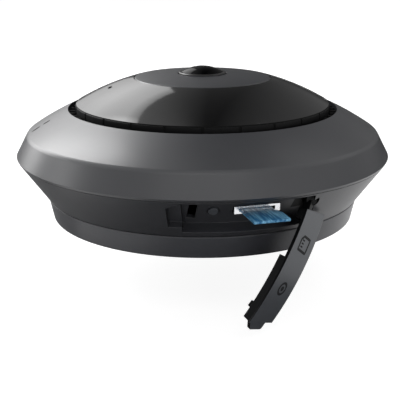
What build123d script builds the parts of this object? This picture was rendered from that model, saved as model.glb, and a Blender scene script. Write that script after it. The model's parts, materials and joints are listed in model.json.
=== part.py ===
from build123d import *
import os
from math import atan2, cos, degrees, radians, sin, tan

os.makedirs("parts", exist_ok=True)

# A ceiling fisheye camera in millimetres. The mounting face is z = 0 and the lens looks along +Z.
# Azimuths are in degrees from -Y towards +X, so the card bay faces -Y.

# Outer form, from the foot up
waist_radius = 54.9
waist_z = 7.3
foot_taper = 1.5
cone_top_radius = 64.6
parting_z = 21.0
rim_lip = 0.4
rim_rise = 0.8
shoulder_inset = 3.9
shoulder_rise = 7.3
shoulder_round = 3.0
shell_bulge = 0.3
shell_width = 14.2
shell_rise = 8.0
shell_lip_wall = 1.5
shell_corner_inset = 1.2
shell_corner_drop = 1.7
groove_width = 2.9
groove_depth = 3.3
dome_lip = 1.7
dome_bulge = 0.7
dome_rise = 8.3
cap_pocket_radius = 24.0

# Walls and clearances
seam_gap = 0.15
running_gap = 0.3
screw_gap = 0.1
press_gap = 0.05
pin_press_gap = 0.02
lower_wall = 2.2
upper_wall = 2.0
dome_wall = 1.8
gasket_thickness = 0.25
gasket_inset = 1.0
join = 1.0
cut_past = 2.0

# Mount plate and its twist lock
plate_thickness = 2.4
plate_room = 0.4
plate_inset = 5.4
plate_hole_radius = 24.0
lock_tab_reach = 3.0
lock_tab_thickness = 1.0
lock_tab_angle = 20.0
lock_tab_room = 1.0
lock_twist = 15.0
lock_count = 3
ceiling_hole_circle = 70.0
ceiling_hole_radius = 2.2
ceiling_hole_count = 3
ceiling_head_radius = 3.4
ceiling_hole_turn = 90.0

# Card bay, cut into the cone, with a slanted end beside the hinge
bay_start = -6.1
bay_end_top = 31.6
bay_end_low = 36.2
bay_sill = 1.8
bay_lip = 0.7
bay_ceiling_step = 1.3
bay_depth = 3.7
bay_wall = 1.5
tub_roof = 2.6
tub_neck = 0.3
tub_step = 1.0
tub_margin = 2.5
end_pocket_start = -10.0
end_pocket_depth = 2.2
end_pocket_low_z = 11.0
end_pocket_high_z = 18.3

# Latch slot in the bay's back wall
latch_azimuth = -3.0
latch_z = 16.75
latch_slot_length = 8.9
latch_slot_width = 2.5
latch_slant = 10.0

# Side door
door_gap = 0.3
door_thickness = 3.1
door_skin = 1.3
door_flange = 1.3
door_bevel = 48.0
card_relief_start = 14.5
card_relief_end = 26.0
door_end_top = 28.4
door_end_low = 32.6
door_tab_reach = 2.7
door_tab_inset = 0.15
door_tab_low_z = 12.3
door_tab_high_z = 17.4
door_tab_root_z = 19.4
door_tab_round = 0.6
catch_width = 2.0
catch_height = 1.6
catch_rise = 2.7
catch_length = 2.1

# Door hinge: a canted pin under the bay's upper corner, and the arm that carries its knuckle
hinge_azimuth = 32.0
hinge_drop = 2.1
hinge_heading = 8.5
hinge_lift = 10.0
door_open_angle = 60.0
hinge_pin_radius = 0.8
hinge_pin_gap = 0.06
knuckle_radius = 1.7
knuckle_start = 1.9
knuckle_end = 5.9
knuckle_cap = 0.5
hinge_pin_end = 9.2
hinge_arm_start = 26.6
hinge_arm_end = 32.4
hinge_arm_drop = 1.5
hinge_arm_width = 2.0
hinge_arm_top = 1.0
hinge_arm_depth = 3.4
hinge_block_start = 29.5
hinge_block_end = 39.5

# Reset button and its switch
button_azimuth = 3.25
button_z = 16.0
button_radius = 1.5
button_proud = 0.3
button_ring_radius = 1.95
button_ring_depth = 0.3
button_flange_radius = 2.2
button_flange = 0.4
button_travel = 0.4
switch_size = 4.5
switch_height = 2.0
switch_plunger_radius = 1.0
switch_plunger = 0.4
switch_gap = 0.1

# Memory card and its socket
card_azimuth = 16.5
card_z = 16.3
card_width = 11.0
card_length = 15.0
card_thickness = 0.75
card_nose_width = 9.7
card_notch_width = 0.5
card_notch_start = 6.3
card_notch_end = 9.3
card_notch_slope = 1.2
card_out = 12.0
card_proud = 0.6
socket_proud = 0.66
socket_width = 14.4
socket_height = 2.2
socket_sheet = 0.3
socket_length = 15.8
socket_gap = 0.2
slot_gap = 0.15
side_board_width = 15.4
side_board_length = 10.4
side_board_thickness = 1.2
side_board_margin = 0.6

# Vent groove and dome parts
vent_base = 1.8
vent_seat = 2.2
rib_count = 60
rib_width = 0.7
rib_height = 2.4
rib_gap = 0.1
ledge_thickness = 1.8
dome_skirt_wall = 1.8
dome_shelf_reach = 1.4
dome_inner_drop = 1.4
dome_edge_drop = 0.9
dome_gasket_inset = 0.2
dome_hole_radius = 13.0
cap_seat = 1.5
cap_proud = 0.1
cap_rise = 1.4
cap_bulge = 0.15
cap_chamfer = 0.3

# Lens group
cap_hole_radius = 8.6
bezel_proud = 0.5
bezel_chamfer = 0.3
bezel_flange_gap = 0.4
bezel_seat_gap = 0.2
bezel_lip = 1.1
glass_sag = 2.0
glass_seat = 0.7
glass_stem_length = 3.0
barrel_radius = 6.4
barrel_wall = 1.4
barrel_length = 17.0
barrel_seat = 3.2
element_height = 2.4
element_sag = 0.8
element_count = 3
element_start = 1.5
element_pitch = 5.0

# Boards and fittings
board_thickness = 1.6
board_room = 1.6
main_board_z = 16.0
floor_thickness = 2.4
standoff_inset = 4.0
standoff_radius = 2.5
standoff_count = 4
board_screw_radius = 1.2
board_screw_head_radius = 2.2
board_screw_head = 1.5
board_screw_length = 8.0
screw_turn = 45.0
flange_thickness = 2.0
flange_room = 1.5
case_screw_inset = 4.5
case_screw_count = 4
case_screw_head_radius = 2.4
case_screw_head = 1.6
case_boss_radius = 3.2
screw_slot_length = 2.6
screw_slot_width = 0.5
screw_slot_depth = 0.7
sensor_board_size = 24.0
sensor_board_round = 1.0
sensor_board_lift = 1.4
connector_width = 12.0
connector_depth = 4.0
holder_size = 16.0
holder_round = 1.5
holder_room = 10.0
holder_room_height = 3.4
holder_aperture = 4.2
filter_thickness = 0.55
filter_gap = 0.3
chip_width = 8.0
chip_depth = 7.0
chip_height = 1.0
led_inset = 8.2
led_radius = 2.5
led_height = 2.3
led_count = 8
led_board_reach = 6.0
led_board_lift = 0.7
led_board_thickness = 1.2
light_sensor_size = 3.0
light_sensor_height = 1.2
heat_sink_place = 24.0
heat_sink_size = 18.0
heat_sink_base = 1.6
heat_sink_fin = 6.0
heat_sink_fin_width = 1.0
heat_sink_fin_count = 6
speaker_place = 24.0
speaker_radius = 8.0
speaker_height = 4.5
speaker_round = 0.8
antenna_start = 160.0
antenna_end = 200.0
antenna_thickness = 0.8
antenna_gap = 0.1
antenna_low_margin = 4.0
antenna_top_margin = 2.0
flex_width = 8.0
flex_thickness = 0.3
flex_place = 9.0
flex_reach = 11.8
flex_rise = 4.0
flex_land = 1.4
flex_end_overlap = 2.0

# Jacks that face down through the bottom cover
jack_inset = 0.2
network_x = -7.5
power_x = 10.5
jack_y = 3.0
network_width = 16.0
network_depth = 13.6
network_mouth_width = 12.0
network_mouth_depth = 8.2
network_mouth_length = 10.0
network_latch_width = 6.0
network_latch_depth = 1.8
power_size = 9.0
power_bore = 2.8
power_bore_length = 9.0
power_pin_radius = 0.8
power_pin_inset = 2.0

# Microphone and the small slots in the shell and the dome
mic_azimuth = -78.0
mic_slots = ((3.1, 2.2), (6.8, 1.8))
mic_slot_width = 0.6
mic_inset = 7.1
mic_drop = 1.9
mic_radius = 2.4
mic_height = 2.2
dome_slot_azimuth = -79.4
dome_slot_inset = 11.7
dome_slot_length = 2.4

# Values worked out from the ones above
foot_radius = waist_radius - foot_taper
rim_radius = cone_top_radius + rim_lip
rim_z = parting_z + rim_rise
shoulder_radius = rim_radius - shoulder_inset
shoulder_z = rim_z + shoulder_rise
groove_radius = shoulder_radius - shell_width
groove_top_z = shoulder_z + shell_rise
groove_floor_z = groove_top_z - groove_depth
dome_radius = groove_radius - groove_width
dome_edge_z = groove_top_z + dome_lip
cap_edge_z = dome_edge_z + dome_rise
cap_inner_z = cap_edge_z + cap_rise
shelf_z = cap_edge_z - cap_seat
shelf_low = shelf_z - dome_wall
skirt_inner = dome_radius - dome_skirt_wall
vent_inner_radius = dome_radius - vent_seat
bezel_radius = cap_hole_radius - running_gap
bezel_top_z = cap_inner_z + bezel_proud
glass_radius = bezel_radius - bezel_lip
glass_stem_radius = glass_radius - glass_seat
glass_stem_low = bezel_top_z - glass_stem_length
glass_apex_z = bezel_top_z + glass_sag
barrel_bore = barrel_radius - barrel_wall

plate_radius = foot_radius - plate_inset
lock_radius = plate_radius + lock_tab_reach
recess_depth = plate_thickness + plate_room
recess_radius = plate_radius + running_gap
cover_floor_top = recess_depth + floor_thickness
cover_top_z = waist_z - gasket_thickness / 2
lower_bottom_z = waist_z + gasket_thickness / 2
lower_top_z = parting_z - seam_gap

shell_lean = shell_rise / shell_width
cone_slope = (cone_top_radius - waist_radius) / (parting_z - waist_z)
cone_angle = degrees(atan2(cone_top_radius - waist_radius, parting_z - waist_z))
slant_cos = cos(radians(cone_angle))
slant_sin = sin(radians(cone_angle))
bay_bottom_z = waist_z + bay_sill
bay_ceiling_z = parting_z - bay_lip
door_bottom_z = bay_bottom_z + door_gap
door_top_z = bay_ceiling_z - door_gap
door_start = bay_start + degrees(door_gap / shoulder_radius)
hinge_z = bay_ceiling_z - hinge_drop
wall_rise = bay_depth * slant_sin
socket_mouth = waist_radius + cone_slope * (card_z - waist_z) - bay_depth / slant_cos + socket_proud
socket_back = socket_mouth - socket_length

main_board_radius = socket_back - board_room
standoff_circle = main_board_radius - standoff_inset
flange_inner_radius = main_board_radius + flange_room
case_screw_circle = flange_inner_radius + case_screw_inset
board_top_z = main_board_z + board_thickness
sensor_board_z = board_top_z + sensor_board_lift
holder_z = sensor_board_z + board_thickness
led_circle = skirt_inner - led_inset
led_board_z = groove_floor_z + led_board_lift
jack_bottom_z = recess_depth + jack_inset


def cone_radius(z):
    return waist_radius + cone_slope * (z - waist_z)


def under_cone(z, depth, rise=0.0):
    """Point (r, z) at a depth square to the cone, moved up the slant by rise."""
    return (
        cone_radius(z) - depth * slant_cos + rise * slant_sin,
        z + depth * slant_sin + rise * slant_cos,
    )


def out_direction(azimuth):
    return Vector(sin(radians(azimuth)), -cos(radians(azimuth)), 0)


def around_direction(azimuth):
    return Vector(cos(radians(azimuth)), sin(radians(azimuth)), 0)


def cone_normal(azimuth):
    return out_direction(azimuth) * slant_cos - Vector(0, 0, slant_sin)


def azimuth_plane(azimuth):
    """Upright plane through the axis: local x is the radius, local y is z."""
    return Plane(origin=(0, 0, 0), x_dir=out_direction(azimuth), z_dir=-around_direction(azimuth))


def radial_plane(azimuth, distance, z):
    """Upright plane facing outward: local x runs round, local y is up."""
    origin = out_direction(azimuth) * distance + Vector(0, 0, z)
    return Plane(origin=origin, x_dir=around_direction(azimuth), z_dir=out_direction(azimuth))


def cone_plane(azimuth, z, depth):
    """Plane square to the cone, a depth under its point at z: x runs round, y is up the slant."""
    r, height = under_cone(z, depth)
    origin = out_direction(azimuth) * r + Vector(0, 0, height)
    return Plane(origin=origin, x_dir=around_direction(azimuth), z_dir=cone_normal(azimuth))


def slant_plane(top_azimuth, low_azimuth):
    """Plane square to the cone through the bay's ceiling and sill corners, with the bay on top."""
    top = out_direction(top_azimuth) * cone_radius(bay_ceiling_z) + Vector(0, 0, bay_ceiling_z)
    low = out_direction(low_azimuth) * cone_radius(bay_bottom_z) + Vector(0, 0, bay_bottom_z)
    normal = cone_normal((top_azimuth + low_azimuth) / 2)
    return Plane(origin=top, x_dir=normal, z_dir=(low - top).cross(normal))


def section(points, azimuth=0.0):
    """Closed straight-sided section of (r, z) points on the plane at an azimuth."""
    with BuildSketch(azimuth_plane(azimuth), mode=Mode.PRIVATE) as face:
        with BuildLine():
            Polyline(points, close=True)
        make_face()
    return face.sketch


def save(piece, label):
    piece.part.label = label
    export_step(piece.part, f"parts/{label}.step")


def ring(points, mode=Mode.ADD):
    revolve(section(points), axis=Axis.Z, mode=mode)


def arc_ring(points, start, end, mode=Mode.ADD):
    """Section turned about the axis from one azimuth to another."""
    revolve(section(points, start), axis=Axis.Z, revolution_arc=end - start, mode=mode)


def tube_points(inner, outer, low, high):
    return [(inner, low), (outer, low), (outer, high), (inner, high)]


# Mount plate: root of the assembly, screwed to the ceiling
with BuildPart() as mount_plate:
    ring(tube_points(plate_hole_radius, plate_radius, 0, plate_thickness))
    for i in range(lock_count):
        middle = i * 360 / lock_count
        tab_low = plate_thickness - lock_tab_thickness
        tab = tube_points(plate_radius - join, lock_radius, tab_low, plate_thickness)
        arc_ring(tab, middle - lock_tab_angle / 2, middle + lock_tab_angle / 2)
    with Locations(Plane.XY.offset(plate_thickness)):
        with PolarLocations(ceiling_hole_circle / 2, ceiling_hole_count, start_angle=ceiling_hole_turn):
            CounterSinkHole(ceiling_hole_radius, ceiling_head_radius)
save(mount_plate, "mount_plate")

# Bottom cover: the base ring below the waist, with the recess for the mount plate
with BuildPart() as bottom_cover:
    inner = waist_radius - lower_wall
    ring([
        (0, 0), (foot_radius, 0), (waist_radius, cover_top_z), (inner, cover_top_z),
        (inner, cover_floor_top), (0, cover_floor_top),
    ])
    with Locations(Plane.XY.offset(cover_floor_top)):
        with PolarLocations(case_screw_circle, case_screw_count, start_angle=screw_turn):
            Cylinder(
                case_boss_radius, cover_top_z - cover_floor_top,
                align=(Align.CENTER, Align.CENTER, Align.MIN),
            )
    ring(tube_points(0, recess_radius, 0, recess_depth), Mode.SUBTRACT)
    lock_low = plate_thickness - lock_tab_thickness - running_gap / 2
    for i in range(lock_count):
        middle = i * 360 / lock_count
        half = lock_tab_angle / 2 + lock_tab_room
        groove = tube_points(recess_radius - join, lock_radius + running_gap, lock_low, recess_depth)
        entry = tube_points(recess_radius - join, lock_radius + running_gap, 0, recess_depth)
        arc_ring(groove, middle - half - lock_twist, middle + half, Mode.SUBTRACT)
        arc_ring(entry, middle - half - lock_twist, middle + half - lock_twist, Mode.SUBTRACT)
    with BuildSketch(Plane.XY):
        with Locations((network_x, jack_y)):
            Rectangle(network_width + 2 * running_gap, network_depth + 2 * running_gap)
        with Locations((power_x, jack_y)):
            Rectangle(power_size + 2 * running_gap, power_size + 2 * running_gap)
        with PolarLocations(case_screw_circle, case_screw_count, start_angle=screw_turn):
            Circle(board_screw_radius + screw_gap)
    extrude(amount=waist_z, mode=Mode.SUBTRACT)
    with BuildSketch(Plane.XY):
        with PolarLocations(case_screw_circle, case_screw_count, start_angle=screw_turn):
            Circle(case_screw_head_radius + running_gap)
    extrude(amount=recess_depth + case_screw_head + running_gap, mode=Mode.SUBTRACT)
save(bottom_cover, "bottom_cover")

with BuildPart() as housing_gasket:
    ring(tube_points(waist_radius - lower_wall, waist_radius - gasket_inset, cover_top_z, lower_bottom_z))
save(housing_gasket, "housing_gasket")

with BuildPart() as housing_screws:
    head_z = recess_depth + running_gap
    with BuildSketch(Plane.XY.offset(head_z)):
        with PolarLocations(case_screw_circle, case_screw_count, start_angle=screw_turn):
            Circle(case_screw_head_radius)
    extrude(amount=case_screw_head)
    with BuildSketch(Plane.XY.offset(head_z)):
        with PolarLocations(case_screw_circle, case_screw_count, start_angle=screw_turn):
            Circle(board_screw_radius)
    extrude(amount=lower_bottom_z + flange_thickness - head_z)
    with BuildSketch(Plane.XY.offset(head_z)):
        with PolarLocations(case_screw_circle, case_screw_count, start_angle=screw_turn):
            Rectangle(screw_slot_length, screw_slot_width)
    extrude(amount=screw_slot_depth, mode=Mode.SUBTRACT)
save(housing_screws, "housing_screws")

# Hinge axis of the side door, through a point on the closed door's face
hinge_point = out_direction(hinge_azimuth) * cone_radius(hinge_z) + Vector(0, 0, hinge_z)
hinge_direction = (
    out_direction(hinge_heading) * cos(radians(hinge_lift)) + Vector(0, 0, sin(radians(hinge_lift)))
)
hinge_share = hinge_direction.dot(cone_normal(hinge_azimuth))


def hinge_plane(inward):
    """Plane square to the hinge axis, a distance inward from the door's face."""
    return Plane(origin=hinge_point - hinge_direction * inward, z_dir=hinge_direction)


tab_middle_z = (door_tab_low_z + door_tab_high_z) / 2


def tab_outline(reach, low_z, high_z, root_z):
    """Outline of the door's finger tab, or of its pocket, on a plane square to the cone."""
    low = (low_z - tab_middle_z) / slant_cos
    high = (high_z - tab_middle_z) / slant_cos
    root = (root_z - tab_middle_z) / slant_cos
    with BuildLine() as outline:
        Polyline((join, low), (-reach, low), (-reach, high), (0, root), (join, root), close=True)
    return outline.line


# Space of the card bay: a square sill, a back wall along the cone and a ceiling that steps up inside
with BuildPart() as bay_space:
    ceiling_r = cone_radius(bay_ceiling_z) - bay_ceiling_step
    ceiling_run = bay_depth - bay_ceiling_step * slant_cos
    arc_ring([
        under_cone(bay_bottom_z, -cut_past), under_cone(bay_bottom_z, bay_depth),
        (ceiling_r - ceiling_run * slant_cos, bay_ceiling_z + ceiling_run * slant_sin),
        (ceiling_r, bay_ceiling_z), (rim_radius + cut_past, bay_ceiling_z),
    ], bay_start, bay_end_low + join)
    split(bisect_by=slant_plane(bay_end_top, bay_end_low), keep=Keep.TOP)

# Lower housing: the cone with its moulded card bay
with BuildPart() as lower_housing:
    side = lower_wall / slant_cos
    flange_top = lower_bottom_z + flange_thickness
    ring([
        (flange_inner_radius, lower_bottom_z), (cone_radius(lower_bottom_z), lower_bottom_z),
        (cone_radius(lower_top_z), lower_top_z), (cone_radius(lower_top_z) - side, lower_top_z),
        (cone_radius(flange_top) - side, flange_top), (flange_inner_radius, flange_top),
    ])
    tub_depth = (bay_depth + bay_wall) / slant_cos
    block_depth = (hinge_pin_end * hinge_share + bay_wall) / slant_cos
    tub_top = bay_ceiling_z + tub_roof
    neck = cone_radius(bay_ceiling_z) - bay_ceiling_step - tub_neck
    for depth, start, end in (
        (tub_depth, end_pocket_start - tub_margin, hinge_block_start + join),
        (block_depth, hinge_block_start, hinge_block_end),
    ):
        arc_ring([
            (cone_radius(lower_bottom_z) - depth, lower_bottom_z),
            (cone_radius(lower_bottom_z), lower_bottom_z),
            (cone_radius(lower_top_z), lower_top_z), (neck, lower_top_z),
            (neck, lower_top_z + tub_step), (neck - tub_step, tub_top),
            (cone_radius(tub_top) - depth, tub_top),
        ], start, end)
    add(bay_space.part, mode=Mode.SUBTRACT)
    with BuildSketch(cone_plane(bay_start, tab_middle_z, end_pocket_depth)):
        pocket_reach = radians(bay_start - end_pocket_start) * cone_radius(tab_middle_z)
        add(tab_outline(pocket_reach, end_pocket_low_z, end_pocket_high_z, bay_ceiling_z))
        make_face()
    extrude(amount=end_pocket_depth + cut_past, mode=Mode.SUBTRACT)
    with BuildSketch(cone_plane(latch_azimuth, latch_z - wall_rise, bay_depth + bay_wall + cut_past)):
        Rectangle(latch_slot_width, latch_slot_length, rotation=-latch_slant)
    extrude(amount=bay_wall + 2 * cut_past, mode=Mode.SUBTRACT)
    with BuildSketch(cone_plane(button_azimuth, button_z - wall_rise, bay_depth + bay_wall + cut_past)):
        Circle(button_radius + screw_gap)
    extrude(amount=bay_wall + 2 * cut_past, mode=Mode.SUBTRACT)
    with BuildSketch(cone_plane(button_azimuth, button_z - wall_rise, bay_depth + button_ring_depth)):
        Circle(button_ring_radius)
    extrude(amount=cut_past, mode=Mode.SUBTRACT)
    with BuildSketch(radial_plane(card_azimuth, socket_back, card_z)):
        Rectangle(socket_width + 2 * socket_gap, socket_height + 2 * socket_gap)
    extrude(amount=socket_length + cut_past, mode=Mode.SUBTRACT)
    with BuildSketch(hinge_plane(knuckle_end + running_gap)):
        Circle(knuckle_radius + running_gap)
    extrude(amount=knuckle_end + running_gap, mode=Mode.SUBTRACT)
    with BuildSketch(hinge_plane(hinge_pin_end)):
        Circle(hinge_pin_radius + pin_press_gap)
    extrude(amount=hinge_pin_end, mode=Mode.SUBTRACT)
    with BuildSketch(Plane.XY.offset(lower_bottom_z)):
        with PolarLocations(case_screw_circle, case_screw_count, start_angle=screw_turn):
            Circle(board_screw_radius + press_gap)
    extrude(amount=flange_thickness, mode=Mode.SUBTRACT)
save(lower_housing, "lower_housing")

# Side door, made closed and then swung open
with BuildPart() as closed_door:
    top_r = cone_radius(door_top_z) - (bay_ceiling_step - door_gap)
    top_depth = (cone_radius(door_top_z) - top_r) * slant_cos
    run = door_thickness - top_depth
    inner_top = (top_r - run * slant_cos, door_top_z + run * slant_sin)
    inner_low = (inner_top[0] - door_flange * slant_sin, inner_top[1] - door_flange * slant_cos)
    back = door_thickness - door_skin
    skin_top = (inner_low[0] + back * slant_cos, inner_low[1] - back * slant_sin)
    bevel_rise = door_skin * tan(radians(door_bevel))
    arc_ring([
        under_cone(door_bottom_z, 0), (cone_radius(door_top_z), door_top_z), (top_r, door_top_z), inner_top,
        inner_low, skin_top, under_cone(door_bottom_z, door_skin, bevel_rise),
    ], door_start, door_end_low + join)
    split(bisect_by=slant_plane(door_end_top, door_end_low), keep=Keep.TOP)
    # The flange is cut back where it swings past the memory card
    arc_ring([
        under_cone(bay_bottom_z, door_skin), under_cone(bay_bottom_z, door_thickness + cut_past),
        under_cone(rim_z, door_thickness + cut_past), under_cone(rim_z, door_skin),
    ], card_relief_start, card_relief_end, Mode.SUBTRACT)
    # Finger tab at the free end
    with BuildSketch(cone_plane(door_start, tab_middle_z, door_skin)) as tab_face:
        add(tab_outline(door_tab_reach, door_tab_low_z, door_tab_high_z, door_tab_root_z))
        make_face()
        fillet(tab_face.vertices().group_by(Axis.X)[0], door_tab_round)
    extrude(amount=door_skin - door_tab_inset)
    # Catch for the latch slot
    with BuildSketch(cone_plane(latch_azimuth, latch_z - wall_rise, door_thickness + catch_length)):
        with Locations((catch_rise * tan(radians(latch_slant)), catch_rise)):
            Rectangle(catch_width, catch_height, rotation=-latch_slant)
    extrude(amount=door_thickness + catch_length - door_skin / 2)
    # Hinge arm and knuckle
    arm_z = hinge_z - hinge_arm_drop
    arm_half = hinge_arm_width / 2 * slant_cos
    arc_ring([
        under_cone(arm_z - arm_half, hinge_arm_top), under_cone(arm_z + arm_half, hinge_arm_top),
        under_cone(arm_z + arm_half, hinge_arm_depth), under_cone(arm_z - arm_half, hinge_arm_depth),
    ], hinge_arm_start, hinge_arm_end)
    with BuildSketch(hinge_plane(knuckle_end)):
        Circle(knuckle_radius)
    extrude(amount=knuckle_end - knuckle_start)
    with BuildSketch(hinge_plane(knuckle_end + cut_past)):
        Circle(hinge_pin_radius + hinge_pin_gap)
    extrude(amount=knuckle_end + cut_past - knuckle_start - knuckle_cap, mode=Mode.SUBTRACT)

with BuildPart() as side_door:
    add(closed_door.part.rotate(Axis(hinge_point, hinge_direction), door_open_angle))
save(side_door, "side_door")

with BuildPart() as hinge_pin:
    with BuildSketch(hinge_plane(hinge_pin_end)):
        Circle(hinge_pin_radius)
    extrude(amount=hinge_pin_end - knuckle_start - knuckle_cap - hinge_pin_gap)
save(hinge_pin, "hinge_pin")

# Reset button and the switch behind it
flange_depth = bay_depth + bay_wall + running_gap
button_foot_z = button_z - wall_rise
with BuildPart() as reset_button:
    with BuildSketch(cone_plane(button_azimuth, button_foot_z, flange_depth + button_flange)):
        Circle(button_radius)
    extrude(amount=flange_depth + button_flange - bay_depth + button_proud)
    with BuildSketch(cone_plane(button_azimuth, button_foot_z, flange_depth + button_flange)):
        Circle(button_flange_radius)
    extrude(amount=button_flange)
save(reset_button, "reset_button")

with BuildPart() as reset_switch:
    switch_depth = flange_depth + button_flange + button_travel + switch_gap + switch_plunger
    with BuildSketch(cone_plane(button_azimuth, button_foot_z, switch_depth + switch_height)):
        Rectangle(switch_size, switch_size)
    extrude(amount=switch_height)
    with BuildSketch(cone_plane(button_azimuth, button_foot_z, switch_depth)):
        Circle(switch_plunger_radius)
    extrude(amount=switch_plunger)
save(reset_switch, "reset_switch")

# Card socket: pressed steel shell round a moulded body
shell_inner_width = socket_width - 2 * socket_sheet
shell_inner_height = socket_height - 2 * socket_sheet
with BuildPart() as card_socket_shell:
    with BuildSketch(radial_plane(card_azimuth, socket_back, card_z)):
        Rectangle(socket_width, socket_height)
    extrude(amount=socket_length)
    with BuildSketch(radial_plane(card_azimuth, socket_back, card_z)):
        Rectangle(shell_inner_width, shell_inner_height)
    extrude(amount=socket_length - socket_sheet, mode=Mode.SUBTRACT)
    with BuildSketch(radial_plane(card_azimuth, socket_mouth - cut_past, card_z)):
        Rectangle(card_width + 2 * slot_gap, card_thickness + 2 * slot_gap)
    extrude(amount=2 * cut_past, mode=Mode.SUBTRACT)
save(card_socket_shell, "card_socket_shell")

with BuildPart() as card_socket_body:
    with BuildSketch(radial_plane(card_azimuth, socket_back, card_z)):
        Rectangle(shell_inner_width - 2 * pin_press_gap, shell_inner_height - 2 * pin_press_gap)
    extrude(amount=socket_length - socket_sheet - pin_press_gap)
    with BuildSketch(radial_plane(card_azimuth, socket_mouth - card_length, card_z)):
        Rectangle(card_width + 2 * slot_gap, card_thickness + 2 * slot_gap)
    extrude(amount=card_length, mode=Mode.SUBTRACT)
save(card_socket_body, "card_socket_body")

with BuildPart() as memory_card:
    card_tip = socket_mouth + card_proud + card_out
    card_plane = Plane(
        origin=out_direction(card_azimuth) * card_tip + Vector(0, 0, card_z - card_thickness / 2),
        x_dir=around_direction(card_azimuth), z_dir=(0, 0, 1),
    )
    side_x = card_width / 2
    nose_x = card_nose_width - side_x
    waist_x = nose_x + card_notch_width
    with BuildSketch(card_plane):
        with BuildLine():
            Polyline(
                (-side_x, 0), (side_x, 0), (side_x, card_notch_start),
                (waist_x, card_notch_start + card_notch_slope), (waist_x, card_notch_end - card_notch_width),
                (nose_x, card_notch_end), (nose_x, card_length), (-side_x, card_length), close=True,
            )
        make_face()
    extrude(amount=card_thickness)
save(memory_card, "memory_card")

with BuildPart() as side_board:
    board_side_z = card_z - socket_height / 2 - side_board_thickness / 2
    with BuildSketch(radial_plane(card_azimuth, socket_back - side_board_margin, board_side_z)):
        Rectangle(side_board_width, side_board_thickness)
    extrude(amount=side_board_length)
save(side_board, "side_board")

# Upper housing with its vent groove
with BuildPart() as upper_housing:
    lip_inner = cone_top_radius - shell_lip_wall
    ledge_top = groove_floor_z - vent_base
    ledge_low = ledge_top - ledge_thickness
    wall_r = groove_radius + upper_wall
    with BuildSketch(Plane.XZ):
        with BuildLine():
            Polyline((cone_top_radius, parting_z), (rim_radius, rim_z), (shoulder_radius, shoulder_z))
            ThreePointArc(
                (shoulder_radius, shoulder_z),
                (
                    (shoulder_radius + groove_radius) / 2 + shell_bulge * shell_lean,
                    (shoulder_z + groove_top_z) / 2 + shell_bulge,
                ),
                (groove_radius, groove_top_z),
            )
            Polyline(
                (groove_radius, groove_top_z), (groove_radius, ledge_top),
                (vent_inner_radius, ledge_top), (vent_inner_radius, ledge_low), (wall_r, ledge_low),
                (wall_r, groove_top_z - upper_wall * (1 + shell_lean)),
                (shoulder_radius - shell_corner_inset, shoulder_z - shell_corner_drop), (lip_inner, rim_z),
                (lip_inner, parting_z), (cone_top_radius, parting_z),
            )
        make_face()
    revolve(axis=Axis.Z)
    circles = upper_housing.edges().filter_by(GeomType.CIRCLE)
    from_shoulder = lambda edge: abs(edge.radius - shoulder_radius) + abs(edge.center().Z - shoulder_z)
    fillet(circles.sort_by(from_shoulder)[0], shoulder_round)
    mic_floor = Vector(0, 0, shoulder_z - mic_drop)
    for slot_inset, slot_length in mic_slots:
        with BuildSketch(Plane(
            origin=out_direction(mic_azimuth) * (shoulder_radius - slot_inset) + mic_floor,
            x_dir=out_direction(mic_azimuth), z_dir=(0, 0, 1),
        )):
            SlotOverall(slot_length, mic_slot_width)
        extrude(amount=shell_rise + mic_drop, mode=Mode.SUBTRACT)
save(upper_housing, "upper_housing")

with BuildPart() as vent_ring:
    vent_outer = groove_radius - running_gap
    rib_inner = dome_radius + running_gap
    ring(tube_points(vent_inner_radius, vent_outer, groove_floor_z - vent_base, groove_floor_z))
    with BuildSketch(Plane.XY.offset(groove_floor_z)):
        with PolarLocations((rib_inner + vent_outer) / 2, rib_count):
            Rectangle(vent_outer - rib_inner - 2 * rib_gap, rib_width)
    extrude(amount=rib_height)
save(vent_ring, "vent_ring")

with BuildPart() as dome_gasket:
    gasket_top = groove_floor_z + gasket_thickness
    ring(tube_points(skirt_inner, dome_radius - dome_gasket_inset, groove_floor_z, gasket_top))
save(dome_gasket, "dome_gasket")

# Glossy dome cover with a shelf for the cap
with BuildPart() as dome_cover:
    skirt_low = groove_floor_z + gasket_thickness
    middle_r = (dome_radius + cap_pocket_radius) / 2
    middle_z = (dome_edge_z + cap_edge_z) / 2
    dome_slope = atan2(dome_rise, dome_radius - cap_pocket_radius)
    with BuildSketch(Plane.XZ):
        with BuildLine():
            ThreePointArc(
                (dome_radius, dome_edge_z),
                (middle_r + dome_bulge * sin(dome_slope), middle_z + dome_bulge * cos(dome_slope)),
                (cap_pocket_radius, cap_edge_z),
            )
            Polyline(
                (cap_pocket_radius, cap_edge_z), (cap_pocket_radius, shelf_z), (dome_hole_radius, shelf_z),
                (dome_hole_radius, shelf_low), (cap_pocket_radius + dome_shelf_reach, shelf_low),
                (middle_r, middle_z - dome_inner_drop), (skirt_inner, dome_edge_z - dome_edge_drop),
                (skirt_inner, skirt_low), (dome_radius, skirt_low), (dome_radius, dome_edge_z),
            )
        make_face()
    revolve(axis=Axis.Z)
    with BuildSketch(Plane(
        origin=out_direction(dome_slot_azimuth) * (dome_radius - dome_slot_inset) + Vector(0, 0, dome_edge_z),
        x_dir=around_direction(dome_slot_azimuth), z_dir=(0, 0, 1),
    )):
        SlotOverall(dome_slot_length, mic_slot_width)
    extrude(amount=dome_rise, mode=Mode.SUBTRACT)
save(dome_cover, "dome_cover")

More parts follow.
